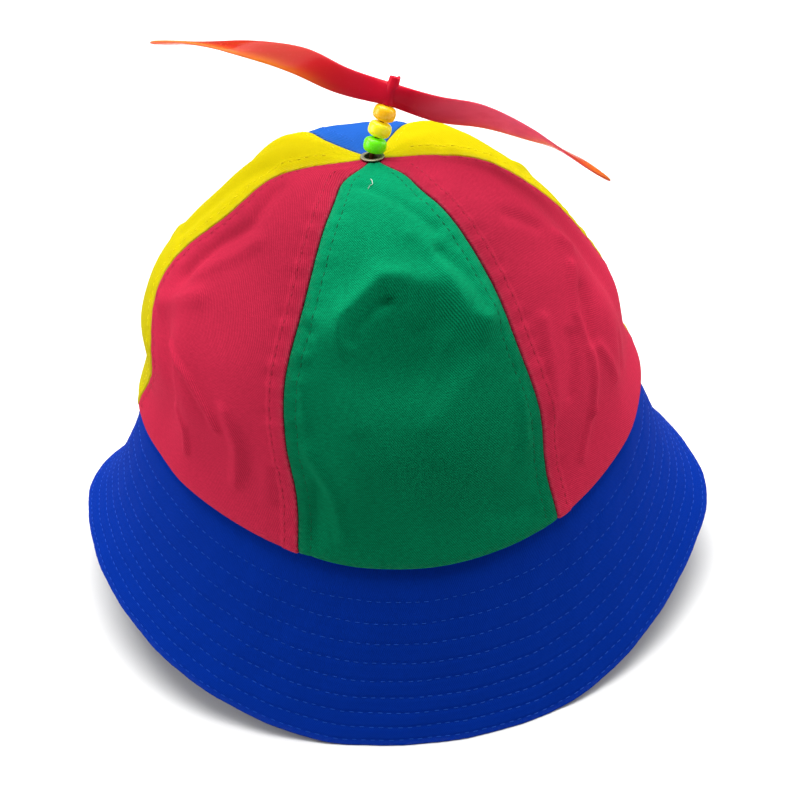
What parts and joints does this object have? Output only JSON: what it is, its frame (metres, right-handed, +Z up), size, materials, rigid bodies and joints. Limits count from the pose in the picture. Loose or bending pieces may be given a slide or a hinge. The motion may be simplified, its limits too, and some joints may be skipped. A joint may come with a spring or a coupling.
{
  "type": "propeller bucket hat",
  "caption": "Cotton bucket hat with a crown of coloured panels, a stitched downturned brim and a toy propeller that spins on a beaded stem.",
  "frame": {"origin": "on the ground under the middle of the hat's outline, where the rim of the brim stands", "axes": "+Z up through the crown, -Y towards the front of the hat, +X towards the wearer's left"},
  "size_m": [0.2384, 0.2366, 0.2053],
  "materials": {
    "cotton_green": "cotton twill, matt",
    "cotton_red": "cotton twill, matt",
    "cotton_yellow": "cotton twill, matt",
    "cotton_blue": "cotton twill, matt, rows of topstitching on the brim",
    "eyelet_metal": "dull plated brass",
    "stem_wire": "brown coppered wire",
    "bead_green": "glossy opaque",
    "bead_yellow": "glossy opaque",
    "bead_orange": "glossy opaque",
    "propeller_plastic": "glossy, slightly see-through red"
  },
  "bodies": {
    "hat": {"crown_panel_green_front": "cotton_green", "crown_panel_red_left": "cotton_red", "crown_panel_yellow_left": "cotton_yellow", "crown_panel_blue_back": "cotton_blue", "crown_panel_yellow_right": "cotton_yellow", "crown_panel_red_right": "cotton_red", "brim": "cotton_blue", "eyelet": "eyelet_metal", "stem": "stem_wire", "bead_green": "bead_green", "bead_yellow": "bead_yellow", "bead_orange": "bead_orange"},
    "propeller": {"propeller": "propeller_plastic"}
  },
  "joints": [
    {"name": "propeller_spin", "type": "hinge", "parent": "hat", "child": "propeller", "pos_m": [0.00563, 0.00093, 0.18397], "axis": [0.3564, 0.1687, 0.919], "continuous": true}
  ]
}
